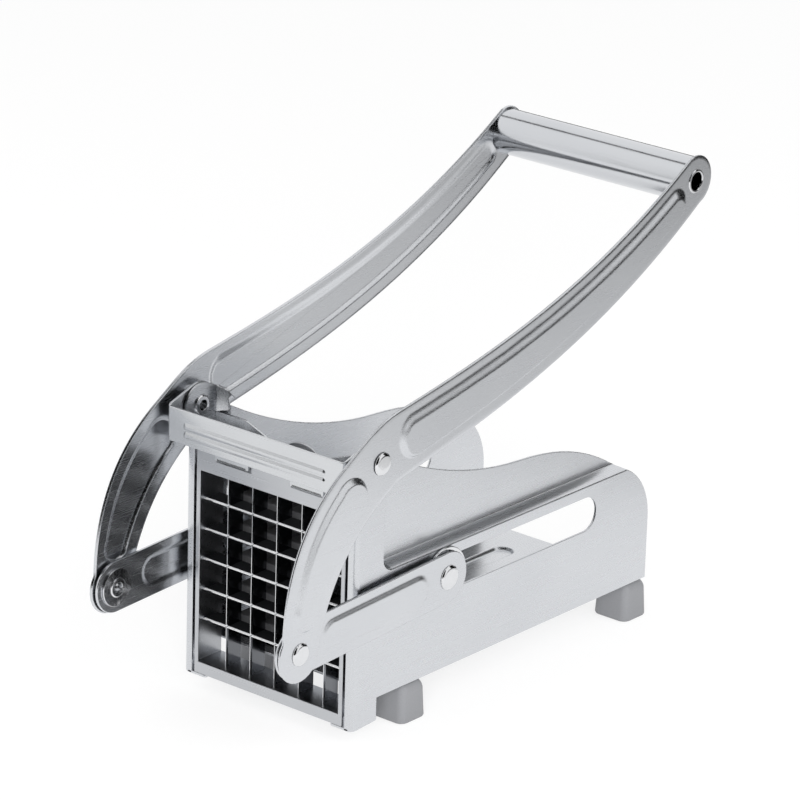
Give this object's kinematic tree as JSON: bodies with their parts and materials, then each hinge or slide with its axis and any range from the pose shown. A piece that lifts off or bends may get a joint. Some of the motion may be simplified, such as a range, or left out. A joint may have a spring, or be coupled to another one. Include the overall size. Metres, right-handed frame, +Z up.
{
  "type": "french fry cutter",
  "caption": "Hand-lever french fry cutter: pressed steel body, lift-out square-grid blade cassette, latch bar, two-arm lever, links and a pegged pusher.",
  "frame": {"origin": "on the table under the feet, in the middle of the part's overall length and width", "axes": "+Z up, -Y towards the blade end where the fries come out, +X to the right seen from that end"},
  "size_m": [0.0958, 0.2436, 0.1863],
  "materials": {
    "body_steel": "satin pressed stainless sheet",
    "cassette_steel": "satin pressed stainless sheet",
    "blade_steel": "thin bright stainless strip",
    "arm_steel": "satin stainless, rolled edges",
    "link_steel": "satin stainless",
    "latch_steel": "bright satin stainless",
    "grip_steel": "brushed stainless tube",
    "bracket_steel": "plain stainless sheet",
    "rivet_steel": "bright plated rivets, pins and washers",
    "pusher_plastic": "black moulded plastic",
    "foot_plastic": "soft light grey moulded plastic",
    "bush_plastic": "grey acetal"
  },
  "bodies": {
    "body": {"right_side_plate": "body_steel", "left_side_plate": "body_steel", "floor_pan": "body_steel", "blade_cassette": "cassette_steel", "vertical_blades": "blade_steel", "horizontal_blades": "blade_steel", "foot_front_right": "foot_plastic", "foot_front_left": "foot_plastic", "foot_rear_right": "foot_plastic", "foot_rear_left": "foot_plastic", "foot_rivets": "rivet_steel", "right_pivot_rivet": "rivet_steel", "left_pivot_rivet": "rivet_steel", "right_pivot_washer": "rivet_steel", "left_pivot_washer": "rivet_steel"},
    "latch": {"latch_bar": "latch_steel"},
    "lever": {"right_arm": "arm_steel", "left_arm": "arm_steel", "grip_tube": "grip_steel", "grip_end_plugs": "bush_plastic", "right_grip_eyelet": "rivet_steel", "left_grip_eyelet": "rivet_steel", "right_link_pin": "rivet_steel", "left_link_pin": "rivet_steel", "link_spacers": "rivet_steel", "link_washers": "rivet_steel"},
    "links": {"right_link": "link_steel", "left_link": "link_steel", "right_slide_rivet": "rivet_steel", "left_slide_rivet": "rivet_steel"},
    "pusher": {"pusher_block": "pusher_plastic", "pusher_pegs": "pusher_plastic", "pusher_bracket": "bracket_steel", "pusher_screws": "rivet_steel", "pusher_axle": "rivet_steel", "right_slide_bush": "bush_plastic", "left_slide_bush": "bush_plastic", "slide_washers": "rivet_steel"}
  },
  "joints": [
    {"name": "lever_swing", "type": "hinge", "parent": "body", "child": "lever", "pos_m": [0, -0.06886, 0.1108], "axis": [1, 0, 0], "range_deg": [-18, 70]},
    {"name": "pusher_slide", "type": "slide", "parent": "body", "child": "pusher", "axis": [0, 1, 0], "range_m": [-0.021, 0.081]},
    {"name": "link_swing", "type": "hinge", "parent": "lever", "child": "links", "pos_m": [0, -0.11087, 0.05013], "axis": [1, 0, 0], "range_deg": [-67.5, 17.5]},
    {"name": "latch_swing", "type": "hinge", "parent": "body", "child": "latch", "pos_m": [0, -0.06886, 0.1108], "axis": [-1, 0, 0], "range_deg": [0, 95]}
  ],
  "couplings": [
    {"joint": "pusher_slide", "follows": "lever_swing", "m_per_rad": 0.06589},
    {"joint": "link_swing", "follows": "lever_swing", "ratio": -0.96}
  ]
}
